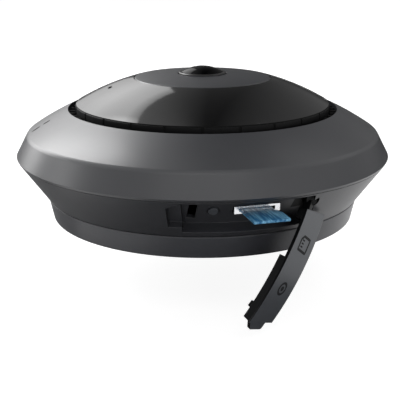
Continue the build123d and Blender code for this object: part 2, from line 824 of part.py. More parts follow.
with BuildPart() as top_cap:
    cap_r = cap_pocket_radius - running_gap
    cap_edge = cap_edge_z + cap_proud
    with BuildSketch(Plane.XZ):
        with BuildLine():
            ThreePointArc(
                (cap_r, cap_edge),
                ((cap_r + cap_hole_radius) / 2, (cap_edge + cap_inner_z) / 2 + cap_bulge),
                (cap_hole_radius, cap_inner_z),
            )
            Polyline(
                (cap_hole_radius, cap_inner_z), (cap_hole_radius, shelf_z),
                (cap_r, shelf_z), (cap_r, cap_edge),
            )
        make_face()
    revolve(axis=Axis.Z)
    circles = top_cap.edges().filter_by(GeomType.CIRCLE)
    from_rim = lambda edge: abs(edge.radius - cap_r) + abs(edge.center().Z - cap_edge)
    chamfer(circles.sort_by(from_rim)[0], cap_chamfer)
save(top_cap, "top_cap")

# Lens group
with BuildPart() as lens_bezel:
    bezel_bore = glass_stem_radius + screw_gap
    flange_radius = dome_hole_radius - bezel_flange_gap
    bezel_seat_z = shelf_z - bezel_seat_gap
    ring([
        (bezel_bore, shelf_low), (flange_radius, shelf_low), (flange_radius, bezel_seat_z),
        (bezel_radius, bezel_seat_z), (bezel_radius, bezel_top_z - bezel_chamfer),
        (bezel_radius - bezel_chamfer, bezel_top_z), (bezel_bore, bezel_top_z),
    ])
save(lens_bezel, "lens_bezel")

with BuildPart() as front_lens:
    ball = (glass_radius ** 2 + glass_sag ** 2) / (2 * glass_sag)
    half_angle = atan2(glass_radius, ball - glass_sag) / 2
    with BuildSketch(Plane.XZ):
        with BuildLine():
            Polyline(
                (0, glass_apex_z), (0, glass_stem_low), (glass_stem_radius, glass_stem_low),
                (glass_stem_radius, bezel_top_z), (glass_radius, bezel_top_z),
            )
            ThreePointArc(
                (glass_radius, bezel_top_z),
                (ball * sin(half_angle), glass_apex_z - ball * (1 - cos(half_angle))),
                (0, glass_apex_z),
            )
        make_face()
    revolve(axis=Axis.Z)
save(front_lens, "front_lens")

barrel_top = glass_stem_low - screw_gap
barrel_low = barrel_top - barrel_length
with BuildPart() as lens_barrel:
    ring(tube_points(barrel_bore, barrel_radius, barrel_low, barrel_top))
save(lens_barrel, "lens_barrel")

with BuildPart() as rear_lenses:
    element = barrel_bore - press_gap
    edge_height = element_height - element_sag
    for i in range(element_count):
        low = barrel_low + element_start + i * element_pitch
        with BuildSketch(Plane.XZ):
            with BuildLine():
                Line((0, low + element_height), (0, low))
                Polyline((0, low), (element, low), (element, low + edge_height))
                RadiusArc(
                    (element, low + edge_height), (0, low + element_height),
                    -(element ** 2 + element_sag ** 2) / (2 * element_sag),
                )
            make_face()
        revolve(axis=Axis.Z)
save(rear_lenses, "rear_lenses")

with BuildPart() as lens_holder:
    holder_height = barrel_low + barrel_seat - holder_z
    with BuildSketch(Plane.XY.offset(holder_z)):
        RectangleRounded(holder_size, holder_size, holder_round)
    extrude(amount=holder_height)
    with BuildSketch(Plane.XY.offset(holder_z)):
        Rectangle(holder_room, holder_room)
    extrude(amount=holder_room_height, mode=Mode.SUBTRACT)
    with BuildSketch(Plane.XY.offset(holder_z)):
        Circle(holder_aperture)
    extrude(amount=holder_height, mode=Mode.SUBTRACT)
    with BuildSketch(Plane.XY.offset(barrel_low - screw_gap)):
        Circle(barrel_radius + screw_gap)
    extrude(amount=holder_height, mode=Mode.SUBTRACT)
save(lens_holder, "lens_holder")

with BuildPart() as ir_cut_filter:
    with BuildSketch(Plane.XY.offset(holder_z + holder_room_height - press_gap - filter_thickness)):
        Rectangle(holder_room - 2 * filter_gap, holder_room - 2 * filter_gap)
    extrude(amount=filter_thickness)
save(ir_cut_filter, "ir_cut_filter")

with BuildPart() as image_sensor:
    with BuildSketch(Plane.XY.offset(holder_z)):
        Rectangle(chip_width, chip_depth)
    extrude(amount=chip_height)
save(image_sensor, "image_sensor")

with BuildPart() as sensor_board:
    with BuildSketch(Plane.XY.offset(sensor_board_z)):
        RectangleRounded(sensor_board_size, sensor_board_size, sensor_board_round)
    extrude(amount=board_thickness)
save(sensor_board, "sensor_board")

with BuildPart() as board_connector:
    with BuildSketch(Plane.XY.offset(board_top_z)):
        Rectangle(connector_width, connector_depth)
    extrude(amount=sensor_board_lift)
save(board_connector, "board_connector")

# Main board, its posts and screws
with BuildPart() as main_board:
    with BuildSketch(Plane.XY.offset(main_board_z)):
        Circle(main_board_radius)
        with PolarLocations(standoff_circle, standoff_count, start_angle=screw_turn):
            Circle(board_screw_radius + screw_gap, mode=Mode.SUBTRACT)
    extrude(amount=board_thickness)
save(main_board, "main_board")

with BuildPart() as standoffs:
    with BuildSketch(Plane.XY.offset(cover_floor_top)):
        with PolarLocations(standoff_circle, standoff_count, start_angle=screw_turn):
            RegularPolygon(standoff_radius, 6)
            Circle(board_screw_radius + press_gap, mode=Mode.SUBTRACT)
    extrude(amount=main_board_z - cover_floor_top)
save(standoffs, "standoffs")

with BuildPart() as board_screws:
    with BuildSketch(Plane.XY.offset(board_top_z - board_screw_length)):
        with PolarLocations(standoff_circle, standoff_count, start_angle=screw_turn):
            Circle(board_screw_radius)
    extrude(amount=board_screw_length)
    with BuildSketch(Plane.XY.offset(board_top_z)):
        with PolarLocations(standoff_circle, standoff_count, start_angle=screw_turn):
            Circle(board_screw_head_radius)
    extrude(amount=board_screw_head)
save(board_screws, "board_screws")

with BuildPart() as heat_sink:
    with BuildSketch(Plane.XY.offset(board_top_z)):
        with Locations((-heat_sink_place, 0)):
            Rectangle(heat_sink_size, heat_sink_size)
    extrude(amount=heat_sink_base)
    fin_pitch = (heat_sink_size - heat_sink_fin_width) / (heat_sink_fin_count - 1)
    with BuildSketch(Plane.XY.offset(board_top_z + heat_sink_base)):
        with Locations((-heat_sink_place, 0)):
            with GridLocations(fin_pitch, 0, heat_sink_fin_count, 1):
                Rectangle(heat_sink_fin_width, heat_sink_size)
    extrude(amount=heat_sink_fin)
save(heat_sink, "heat_sink")

with BuildPart() as speaker:
    with Locations((speaker_place, 0, board_top_z)):
        Cylinder(speaker_radius, speaker_height, align=(Align.CENTER, Align.CENTER, Align.MIN))
    fillet(speaker.faces().sort_by(Axis.Z)[-1].edges(), speaker_round)
save(speaker, "speaker")

with BuildPart() as microphone:
    with Locations(Plane(origin=out_direction(mic_azimuth) * (shoulder_radius - mic_inset) + mic_floor)):
        Cylinder(mic_radius, mic_height, align=(Align.CENTER, Align.CENTER, Align.MIN))
save(microphone, "microphone")

with BuildPart() as antenna:
    low = lower_bottom_z + antenna_low_margin
    high = lower_top_z - antenna_top_margin
    near = lower_wall / slant_cos + antenna_gap
    far = near + antenna_thickness
    arc_ring([
        (cone_radius(low) - far, low), (cone_radius(low) - near, low),
        (cone_radius(high) - near, high), (cone_radius(high) - far, high),
    ], antenna_start, antenna_end)
save(antenna, "antenna")

# Infrared board under the dome
led_board_inner = led_circle - led_board_reach
led_board_top = led_board_z + led_board_thickness
with BuildPart() as ir_board:
    ring(tube_points(led_board_inner, skirt_inner - running_gap, led_board_z, led_board_top))
save(ir_board, "ir_board")

with BuildPart() as ir_leds:
    with BuildSketch(Plane.XY.offset(led_board_top)):
        with PolarLocations(led_circle, led_count, start_angle=180 / led_count):
            Circle(led_radius)
    extrude(amount=led_height)
save(ir_leds, "ir_leds")

with BuildPart() as light_sensor:
    with BuildSketch(Plane.XY.offset(led_board_top)):
        with Locations((0, -led_circle)):
            Rectangle(light_sensor_size, light_sensor_size)
    extrude(amount=light_sensor_height)
save(light_sensor, "light_sensor")

with BuildPart() as ribbon_cable:
    flex_end = led_board_inner + flex_end_overlap
    flex_inner = flex_reach - 2 * flex_thickness
    bend_z = holder_z + flex_rise
    with BuildSketch(Plane.YZ.offset(-flex_width / 2)):
        with BuildLine():
            Polyline(
                (flex_place, holder_z), (flex_reach, holder_z), (flex_reach, bend_z),
                (flex_end, led_board_z - flex_thickness), (flex_end, led_board_z),
                (flex_end - flex_land, led_board_z), (flex_inner, bend_z + flex_thickness),
                (flex_inner, holder_z + flex_thickness), (flex_place, holder_z + flex_thickness), close=True,
            )
        make_face()
    extrude(amount=flex_width)
save(ribbon_cable, "ribbon_cable")

# Jacks that face down through the bottom cover
with BuildPart() as network_jack:
    with BuildSketch(Plane.XY.offset(jack_bottom_z)):
        with Locations((network_x, jack_y)):
            Rectangle(network_width, network_depth)
    extrude(amount=main_board_z - jack_bottom_z)
    with BuildSketch(Plane.XY.offset(jack_bottom_z)):
        with Locations((network_x, jack_y)):
            Rectangle(network_mouth_width, network_mouth_depth)
        with Locations((network_x, jack_y + (network_mouth_depth + network_latch_depth) / 2)):
            Rectangle(network_latch_width, network_latch_depth)
    extrude(amount=network_mouth_length, mode=Mode.SUBTRACT)
save(network_jack, "network_jack")

with BuildPart() as power_jack:
    with BuildSketch(Plane.XY.offset(jack_bottom_z)):
        with Locations((power_x, jack_y)):
            Rectangle(power_size, power_size)
    extrude(amount=main_board_z - jack_bottom_z)
    with BuildSketch(Plane.XY.offset(jack_bottom_z)):
        with Locations((power_x, jack_y)):
            Circle(power_bore)
    extrude(amount=power_bore_length, mode=Mode.SUBTRACT)
    with BuildSketch(Plane.XY.offset(jack_bottom_z + power_pin_inset)):
        with Locations((power_x, jack_y)):
            Circle(power_pin_radius)
    extrude(amount=power_bore_length - power_pin_inset)
save(power_jack, "power_jack")

print("hinge point", tuple(round(v, 4) for v in hinge_point))
print("hinge direction", tuple(round(v, 6) for v in hinge_direction))
print("card direction", tuple(round(v, 6) for v in out_direction(card_azimuth)))
print("button direction", tuple(round(-v, 6) for v in cone_normal(button_azimuth)))
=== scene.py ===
import json
from math import atan2, cos, degrees, hypot, pi, radians, sin

import bmesh
import bpy
from mathutils import Matrix, Vector
from mathutils.bvhtree import BVHTree


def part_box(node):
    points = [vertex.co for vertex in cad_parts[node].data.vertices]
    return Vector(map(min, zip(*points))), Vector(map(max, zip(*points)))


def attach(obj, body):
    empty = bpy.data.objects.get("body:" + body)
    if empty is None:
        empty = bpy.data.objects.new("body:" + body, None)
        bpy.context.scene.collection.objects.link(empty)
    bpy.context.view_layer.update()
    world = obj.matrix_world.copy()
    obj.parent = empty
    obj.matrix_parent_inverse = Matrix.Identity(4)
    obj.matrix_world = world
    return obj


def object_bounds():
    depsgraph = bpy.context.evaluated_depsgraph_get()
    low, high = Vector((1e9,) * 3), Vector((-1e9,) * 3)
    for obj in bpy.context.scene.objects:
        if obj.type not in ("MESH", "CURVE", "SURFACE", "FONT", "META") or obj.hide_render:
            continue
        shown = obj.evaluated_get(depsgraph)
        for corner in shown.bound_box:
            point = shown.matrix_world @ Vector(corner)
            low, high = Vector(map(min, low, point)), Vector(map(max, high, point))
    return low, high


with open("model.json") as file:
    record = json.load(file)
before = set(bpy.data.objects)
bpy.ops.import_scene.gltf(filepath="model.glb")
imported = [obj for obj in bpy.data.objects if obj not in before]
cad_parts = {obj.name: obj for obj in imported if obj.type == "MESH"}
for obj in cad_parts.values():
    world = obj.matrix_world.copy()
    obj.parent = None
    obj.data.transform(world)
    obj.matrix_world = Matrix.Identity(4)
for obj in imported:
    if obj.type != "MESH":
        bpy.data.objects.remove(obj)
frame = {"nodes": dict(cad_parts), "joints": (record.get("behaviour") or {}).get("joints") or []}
cad_low, cad_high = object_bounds()

# Sizes are in millimetres and azimuths in degrees right of the front, unless a comment says
# otherwise
MM = 0.001

# The camera stands where the photograph was taken from
IMAGE_SIZE = 400
OBJECT_CENTRE_PX = 202.45
CAMERA_PLACE = Vector((0, -291.6, 91.25)) * MM
CAMERA_TILT = radians(73.011)
CAMERA_LENS = 75.24
SENSOR_WIDTH = 36
CLIP_START = 10

# The cone and the side door, as in the part
WAIST_RADIUS = 54.9
WAIST_Z = 7.3
CONE_TOP_RADIUS = 64.6
CONE_TOP_Z = 21.0
CONE_SLOPE = (CONE_TOP_RADIUS - WAIST_RADIUS) / (CONE_TOP_Z - WAIST_Z)
CONE_ANGLE = atan2(CONE_TOP_RADIUS - WAIST_RADIUS, CONE_TOP_Z - WAIST_Z)
DOOR_OPEN_ANGLE = radians(60)
# The door's outer face lies nearer to the cone than this
DOOR_SKIN = 0.25
# The hinge knuckle and the walls of its room lie this near to the pin's axis, and take painted
# shade
KNUCKLE_REACH = 2.7
HINGE_ROOM_REACH = 4.5
# The card bay lies between these azimuths, and the normals of its back wall point outward by
# more than this share; the bay's floor and ends take painted shade
BAY_AZIMUTHS = (-18, 40)
BAY_BACK_SHARE = 0.5

# Lower end of the dome's polished face; below it the dome takes painted shade
DOME_LIP_Z = 38.7

# Microphone slots in the shell, each with its radius and length, and the sensor slot in the dome
SLOT_HALF_WIDTH = 0.3
# The normal of a slot's wall points up or down by less than this share
SLOT_WALL_SHARE = 0.6
MIC_AZIMUTH = -78
MIC_SLOTS = ((58.0, 2.2), (54.3, 1.8))
MIC_REACH = 1.3
MIC_SHADE_RIM_HALF_WIDTH = 0.6
DOME_SLOT_AZIMUTH = -79.4
DOME_SLOT_RADIUS = 32.3
DOME_SLOT_LENGTH = 2.4
DOME_SLOT_REACH = 1.4
DOME_SHADE_RIM_HALF_WIDTH = 0.75
# A rim of painted shade begins this far outside its slot, and lies this far above the face
SHADE_RIM_GAP = 0.06
SHADE_RIM_PROUD = 0.03
SHADE_RIM_STEPS = 24
# Height in metres from which the face under a rim of painted shade is looked for
SHADE_RIM_RAY_Z = 0.2

# Louvre pads on the dome's wall in the vent groove, with the gap between two in degrees
DOME_WALL_RADIUS = 44.0
LOUVRE_Z = (36.2, 38.5)
LOUVRE_COUNT = 24
LOUVRE_GAP = 1.2
LOUVRE_FOOT = 0.02
LOUVRE_PROUD = 0.22
LOUVRE_CHAMFER = 0.2
LOUVRE_STEPS = 4

# Network jack and card, as in the part
JACK_PLACE = (-7.5, 3.0)
JACK_MOUTH_DEPTH = 8.2
CARD_AZIMUTH = radians(16.5)

# Sprung wires of the network jack
WIRE_COUNT = 8
WIRE_PITCH = 1.02
WIRE_HALF_WIDTH = 0.24
WIRE_THICKNESS = 0.22
# Line of one wire: out from the lower wall of the mouth, and up into it
WIRE_LINE = (
    (0.25, 9.0), (0.35, 6.5), (0.6, 4.6), (1.1, 3.0), (1.9, 2.0), (2.6, 1.7), (3.1, 1.9),
    (3.3, 2.4),
)

# Printed marks on the door: places as azimuth and height on the closed door
CARD_MARK_PLACE = (20.0, 14.8)
CARD_MARK_HALF_WIDTH = 2.2
CARD_MARK_HALF_HEIGHT = 2.8
CARD_MARK_CORNER = 1.2
CARD_BAR_COUNT = 3
CARD_BAR_PITCH = 1.0
CARD_BAR_RUN = (0.4, CARD_MARK_HALF_HEIGHT - 0.9)
CARD_BAR_LINE = 0.5
RESET_MARK_PLACE = (6.0, 14.8)
RESET_MARK_RADIUS = 1.9
RESET_MARK_POINTS = 24
RESET_DOT_RADIUS = 0.45
RESET_DOT_POINTS = 12
MARK_LINE = 0.8
MARK_STEP = 0.6
MARK_PROUD = 0.02
# Rounds a count of steps up, but not for a rounding error
ROUND_UP = 0.999

# Studio: how far the floor lies below the object, and its half width in metres
FLOOR_GAP = 2
FLOOR_REACH = 3
# All lamps point at this place in the camera body
LAMP_AIM = Vector((0, 0, 25)) * MM
SHEET_STEPS = 12
REFLECTIONS_ONLY = ("camera", "diffuse", "shadow")


def linear(code):
    """Linear colour of an sRGB hex code."""
    parts = [int(code[i:i + 2], 16) / 255 for i in (1, 3, 5)]
    return [c / 12.92 if c <= 0.04045 else ((c + 0.055) / 1.055) ** 2.4 for c in parts] + [1.0]


def fill(tree, made, inputs):
    """Sets a node's inputs; one that is given as a node or a socket is linked."""
    for name, value in inputs.items():
        if isinstance(value, bpy.types.Node):
            value = value.outputs[0]
        if isinstance(value, bpy.types.NodeSocket):
            tree.links.new(value, made.inputs[name])
        else:
            made.inputs[name].default_value = value


def node(tree, kind, inputs=None, **settings):
    """Adds a node with its settings and inputs."""
    made = tree.nodes.new(kind)
    for name, value in settings.items():
        setattr(made, name, value)
    fill(tree, made, inputs or {})
    return made


def surface(name):
    """New material, with its tree and its shader."""
    made = bpy.data.materials.new(name)
    made.use_nodes = True
    return made, made.node_tree, made.node_tree.nodes["Principled BSDF"]


def moulded_plastic(
    name, colour, roughness, grain_mm=0.45, grain_depth=0.01, edge_mm=0.3, level=0.5,
    flow_mm=22, gloss_spread=0.04,
):
    """Moulded plastic: a spark-eroded grain, slow changes of gloss, and rounded edges.

    The real grain is near 0.1 mm, too fine to show, so it is drawn several times as wide.
    """
    made, tree, shader = surface(name)
    place = node(tree, "ShaderNodeTexCoord").outputs["Object"]
    grain = node(tree, "ShaderNodeTexNoise", {
        "Vector": place, "Scale": 1 / (grain_mm * MM), "Detail": 3.0,
    })
    flow = node(tree, "ShaderNodeTexNoise", {"Vector": place, "Scale": 1 / (flow_mm * MM)})
    grain_tint = node(tree, "ShaderNodeMapRange", {"Value": grain, "To Min": 0.9, "To Max": 1.1})
    flow_tint = node(tree, "ShaderNodeMapRange", {"Value": flow, "To Min": 0.93, "To Max": 1.07})
    tint = node(tree, "ShaderNodeMath", {0: grain_tint, 1: flow_tint}, operation="MULTIPLY")
    rounded = node(tree, "ShaderNodeBevel", {"Radius": edge_mm * MM}, samples=4)
    fill(tree, shader, {
        "Base Color": node(tree, "ShaderNodeVectorMath", {
            0: linear(colour)[:3], "Scale": tint,
        }, operation="SCALE"),
        "Roughness": node(tree, "ShaderNodeMapRange", {
            "Value": flow, "To Min": roughness - gloss_spread, "To Max": roughness + gloss_spread,
        }),
        "Normal": node(tree, "ShaderNodeBump", {
            "Height": grain, "Distance": grain_depth * MM, "Strength": 0.7, "Normal": rounded,
        }),
        "IOR": 1.5,
        "Specular IOR Level": level,
    })
    return made


def polished(
    name, colour, roughness, ior=1.5, level=0.5, wave_mm=25, wave_depth=0.003, dust_mm=3,
):
    """Polished acrylic or glass: a near mirror with faint slow waves and a little dust.

    Single specks are too fine to show, so the dust is drawn as soft patches.
    """
    made, tree, shader = surface(name)
    place = node(tree, "ShaderNodeTexCoord").outputs["Object"]
    wave = node(tree, "ShaderNodeTexNoise", {
        "Vector": place, "Scale": 1 / (wave_mm * MM), "Detail": 1.0,
    })
    dust = node(tree, "ShaderNodeTexNoise", {
        "Vector": place, "Scale": 1 / (dust_mm * MM), "Detail": 4.0,
    })
    dust_tint = node(tree, "ShaderNodeMapRange", {"Value": dust, "To Min": 0.8, "To Max": 1.2})
    fill(tree, shader, {
        "Base Color": node(tree, "ShaderNodeVectorMath", {
            0: linear(colour)[:3], "Scale": dust_tint,
        }, operation="SCALE"),
        "Roughness": node(tree, "ShaderNodeMapRange", {
            "Value": dust, "To Min": roughness * 0.7, "To Max": roughness * 1.4,
        }),
        "Normal": node(tree, "ShaderNodeBump", {
            "Height": wave, "Distance": wave_depth * MM, "Strength": 0.5,
        }),
        "IOR": ior,
        "Specular IOR Level": level,
    })
    return made


def rolled_metal(
    name, colour, roughness, line_mm=1.2, line_stretch=14, line_depth=0.003, stain_mm=6,
):
    """Rolled or drawn metal: fine lines in one direction stretch its highlights.

    The real lines are near 0.01 mm, too fine to show, so they are drawn 0.09 mm apart.
    """
    made, tree, shader = surface(name)
    place = node(tree, "ShaderNodeTexCoord").outputs["Object"]
    drawn = node(tree, "ShaderNodeMapping", {"Vector": place, "Scale": (1.0, 1.0, line_stretch)})
    lines = node(tree, "ShaderNodeTexNoise", {
        "Vector": drawn, "Scale": 1 / (line_mm * MM), "Detail": 4.0,
    })
    stain = node(tree, "ShaderNodeTexNoise", {"Vector": place, "Scale": 1 / (stain_mm * MM)})
    stain_tint = node(tree, "ShaderNodeMapRange", {"Value": stain, "To Min": 0.9, "To Max": 1.05})
    fill(tree, shader, {
        "Base Color": node(tree, "ShaderNodeVectorMath", {
            0: linear(colour)[:3], "Scale": stain_tint,
        }, operation="SCALE"),
        "Roughness": node(tree, "ShaderNodeMapRange", {
            "Value": lines, "To Min": roughness * 0.7, "To Max": roughness * 1.3,
        }),
        "Normal": node(tree, "ShaderNodeBump", {
            "Height": lines, "Distance": line_depth * MM, "Strength": 0.5,
        }),
        "Metallic": 1.0,
    })
    return made


def circuit_board(name, track_mm=2.5, track_depth=0.02):
    """Solder mask: glossy green with darker bands of copper track under it."""
    made, tree, shader = surface(name)
    place = node(tree, "ShaderNodeTexCoord").outputs["Object"]
    cells = node(tree, "ShaderNodeTexVoronoi", {
        "Vector": place, "Scale": 1 / (track_mm * MM),
    }, distance="MANHATTAN")
    ramp = node(tree, "ShaderNodeValToRGB", {"Fac": cells})
    ramp.color_ramp.elements[0].color = linear("#0c4a26")
    ramp.color_ramp.elements[1].color = linear("#1a6b39")
    fill(tree, shader, {
        "Base Color": ramp,
        "Roughness": 0.3,
        "Normal": node(tree, "ShaderNodeBump", {"Height": cells, "Distance": track_depth * MM}),
    })
    return made


def printed_card(name, band_mm=0.9, band_stretch=0.12, grain_mm=0.3, grain_depth=0.004):
    """Blue card plastic under a satin varnish, with pale bands of plain print along the card.

    The varnish's own grain is too fine to show, so it is drawn 0.3 mm wide.
    """
    made, tree, shader = surface(name)
    place = node(tree, "ShaderNodeTexCoord").outputs["Object"]
    turned = node(tree, "ShaderNodeMapping", {"Vector": place, "Rotation": (0, 0, -CARD_AZIMUTH)})
    along = node(tree, "ShaderNodeMapping", {"Vector": turned, "Scale": (1.0, band_stretch, 1.0)})
    bands = node(tree, "ShaderNodeTexNoise", {
        "Vector": along, "Scale": 1 / (band_mm * MM), "Detail": 3.0,
    })
    grain = node(tree, "ShaderNodeTexNoise", {
        "Vector": place, "Scale": 1 / (grain_mm * MM), "Detail": 3.0,
    })
    ramp = node(tree, "ShaderNodeValToRGB", {"Fac": bands})
    for stop, (position, colour) in zip(
        ramp.color_ramp.elements, ((0.4, "#17669a"), (0.68, "#8ccdf0")),
    ):
        stop.position, stop.color = position, linear(colour)
    fill(tree, shader, {
        "Base Color": ramp,
        "Roughness": node(tree, "ShaderNodeMapRange", {
            "Value": grain, "To Min": 0.25, "To Max": 0.4,
        }),
        "Normal": node(tree, "ShaderNodeBump", {
            "Height": grain, "Distance": grain_depth * MM, "Strength": 0.5,
        }),
        "Specular IOR Level": 0.3,
    })
    return made


# Charcoal ABS with a fine satin grain, which spreads the softbox into a broad sheen
housing = moulded_plastic("satin_charcoal_abs", "#323337", 0.33, edge_mm=0.12, level=0.6)
# The same ABS on the cone, a little duller, and darker in colour as painted shade of its downward
# face
lower_shell = moulded_plastic("satin_charcoal_cone_abs", "#2c2d31", 0.4)
# The base ring, where the seam's edges are rounder and catch a soft line of light
base_shell = moulded_plastic("satin_charcoal_base_abs", "#393a3f", 0.38, edge_mm=0.7)
# The door is moulded from the same ABS, with a coarser grain that looks lighter
door_plastic = moulded_plastic(
    "grained_grey_door_abs", "#44474c", 0.48, grain_mm=0.6, grain_depth=0.02,
)
# Painted shade on the door's inside and knuckle and on the walls of the hinge's room: a faint
# grain, smoother and nearly black, where these faces lie in shade
door_shade_abs = moulded_plastic(
    "smooth_painted_shade_door_abs", "#0b0c0d", 0.42, grain_mm=1.2, grain_depth=0.003, level=0.1,
)
# Painted shade on the floor and ends of the card bay: smooth and nearly black, with a faint sheen
bay_shade_abs = moulded_plastic(
    "smooth_painted_shade_bay_abs", "#101112", 0.36, grain_mm=1.0, grain_depth=0.003, level=0.3,
)
# Cap disc with an even satin face
cap_plastic = moulded_plastic("satin_cap_abs", "#303135", 0.3, grain_mm=0.3)
# Dead black nylon, which swallows the light in the vent groove; it is also painted shade on the
# walls of the microphone slots and in the black rims round the slots
vent_nylon_and_slot_shade = moulded_plastic("matt_black_vent_nylon_and_slot_shade", "#08080a", 0.75, level=0.25)
# The same nylon on the louvres, where it is a little smoother and catches some light
louvre_plastic = moulded_plastic(
    "satin_black_louvre_nylon", "#060607", 0.55, edge_mm=0.1, level=0.12,
)
# Black glass-filled nylon of small fittings, with a fine even grain
part_plastic = moulded_plastic(
    "moulded_black_nylon", "#141416", 0.5, grain_mm=0.25, edge_mm=0.15,
)
# Silicone seals: soft, dull and dusty
seal_rubber = moulded_plastic(
    "matt_black_silicone", "#0d0d0d", 0.85, grain_mm=0.6, edge_mm=0.1, level=0.3,
)
# Pad-printed ink, darker and duller than the plastic under it
print_ink = moulded_plastic(
    "black_pad_print_ink", "#08080a", 0.7,
    grain_mm=0.2, grain_depth=0.004, edge_mm=0.05, level=0.2,
)
# Smoked acrylic dome over a black mask: a near mirror that is black behind
smoked_dome = polished("polished_smoked_acrylic", "#050506", 0.07, ior=1.49)
# Painted shade on the dome: matt black on its edge below the lip, down in the vent groove, and on
# the walls of its sensor slot
dome_shade_acrylic = moulded_plastic("matt_black_acrylic_painted_shade", "#050505", 0.8, level=0.15)
# Front lens with a dark multi-layer coating, which takes away most of its reflections
lens_glass = polished(
    "coated_black_lens_glass", "#020203", 0.02, wave_mm=60, wave_depth=0.001, level=0.05,
)
# Inner lenses and filter: dense glass with a cool dark tint and sharp reflections
inner_glass = polished("coated_inner_lens_glass", "#26303a", 0.02, ior=1.6)
# Lens bezel, half glossy, so that a soft bright ring runs round the lens
bezel_finish = polished("semi_gloss_black_bezel_abs", "#0e0e0f", 0.3, level=0.35)
# Bright stainless spring steel of the card socket, nearly white under the lamps
socket_steel = rolled_metal("bright_rolled_stainless_steel", "#d9dadd", 0.25)
# Zinc-plated screws and standoffs: grey, with a dull shine
screw_steel = rolled_metal("plain_zinc_plated_steel", "#a8a9ac", 0.35)
# Anodised lens barrel and hinge pin: dark, with a soft metallic streak
black_metal = rolled_metal("black_anodised_aluminium", "#1b1b1d", 0.4)
# Heat sink: pale, with the drawn lines of the extrusion
sink_metal = rolled_metal("extruded_aluminium", "#b4b6ba", 0.4)
# Gold plating on contacts and antenna: warm, with small sharp glints
gold_contact = rolled_metal("gold_plated_contact", "#d9a441", 0.25)
# Circuit boards: glossy green, with tracks that show through
green_board = circuit_board("green_solder_mask_board")
# Film of the ribbon cable: smooth amber with a broad shine
flex_film = polished("amber_polyimide_film", "#9c5a1c", 0.3)
# Emitter lenses: clear grey resin with bright points
emitter_lens = polished("clear_epoxy_emitter", "#55555c", 0.1)
# Printed face of the memory card: blue with pale bands under varnish
card_face = printed_card("varnished_blue_card_print")

# Finish of each CAD node
finishes = {
    housing: ("upper_housing",),
    base_shell: ("bottom_cover", "mount_plate"),
    lower_shell: ("lower_housing",),
    door_plastic: ("side_door", "reset_button"),
    cap_plastic: ("top_cap",),
    vent_nylon_and_slot_shade: ("vent_ring", "lens_holder"),
    part_plastic: (
        "reset_switch", "card_socket_body", "network_jack", "power_jack", "speaker",
        "microphone", "light_sensor", "image_sensor", "board_connector",
    ),
    seal_rubber: ("housing_gasket", "dome_gasket"),
    smoked_dome: ("dome_cover",),
    lens_glass: ("front_lens",),
    inner_glass: ("rear_lenses", "ir_cut_filter"),
    bezel_finish: ("lens_bezel",),
    socket_steel: ("card_socket_shell",),
    screw_steel: ("housing_screws", "board_screws", "standoffs"),
    black_metal: ("lens_barrel", "hinge_pin"),
    sink_metal: ("heat_sink",),
    gold_contact: ("antenna",),
    green_board: ("main_board", "sensor_board", "side_board", "ir_board"),
    flex_film: ("ribbon_cable",),
    emitter_lens: ("ir_leds",),
    card_face: ("memory_card",),
}
for finish, names in finishes.items():
    for name in names:
        mesh = frame["nodes"][name].data
        mesh.materials.clear()
        mesh.materials.append(finish)

swing = next(joint for joint in frame["joints"] if joint["name"] == "door_swing")
pivot, pivot_axis = Vector(swing["pos_m"]), Vector(swing["axis"]).normalized()
door_opened = (
    Matrix.Translation(pivot)
    @ Matrix.Rotation(DOOR_OPEN_ANGLE, 4, pivot_axis)
    @ Matrix.Translation(-pivot)
)
door_closed = door_opened.inverted()


def on_azimuth(azimuth, r, z):
    """Place at an azimuth, radius and height."""
    return Vector((r * sin(radians(azimuth)), -r * cos(radians(azimuth)), z))


def cone_radius(z):
    """Radius of the cone at a height."""
    return WAIST_RADIUS + CONE_SLOPE * (z - WAIST_Z)


def under_cone(place):
    """Whether a place lies inside the cone's surface."""
    return hypot(place.x, place.y) < cone_radius(place.z) - DOOR_SKIN


def in_slot(place, normal, azimuth, r, reach):
    """Whether a face is a wall of the slot at an azimuth and radius."""
    near = (place.xy - on_azimuth(azimuth, r, 0).xy).length < reach
    return near and abs(normal.z) < SLOT_WALL_SHARE


def near_pin(place, reach):
    """Whether a place lies within reach of the hinge pin's axis."""
    return pivot_axis.cross(place - pivot / MM).length < reach


def bay_shaded_face(place, normal):
    """Whether a face is the floor or an end of the card bay, not its back wall: painted shade."""
    outward = Vector((place.x, place.y, 0)).normalized()
    in_bay = BAY_AZIMUTHS[0] < degrees(atan2(place.x, -place.y)) < BAY_AZIMUTHS[1]
    return in_bay and under_cone(place) and abs(normal.dot(outward)) < BAY_BACK_SHARE


def hinge_room_shaded_face(place, normal):
    """Whether a face is a wall of the room round the hinge knuckle, which takes painted shade."""
    return near_pin(place, HINGE_ROOM_REACH) and under_cone(place)


def door_shaded_face(place, normal):
    """Whether a face is on the door's knuckle, or inside the cone when the door is closed: painted
    shade.
    """
    return under_cone(door_closed @ (place * MM) / MM) or near_pin(place, KNUCKLE_REACH)


def dome_shaded_face(place, normal):
    """Whether a face of the dome is below its lip or in its sensor slot: painted shade."""
    return place.z < DOME_LIP_Z or in_slot(
        place, normal, DOME_SLOT_AZIMUTH, DOME_SLOT_RADIUS, DOME_SLOT_REACH,
    )


def microphone_shaded_face(place, normal):
    """Whether a face is a wall of a microphone slot, which takes painted shade."""
    return any(in_slot(place, normal, MIC_AZIMUTH, r, MIC_REACH) for r, _ in MIC_SLOTS)


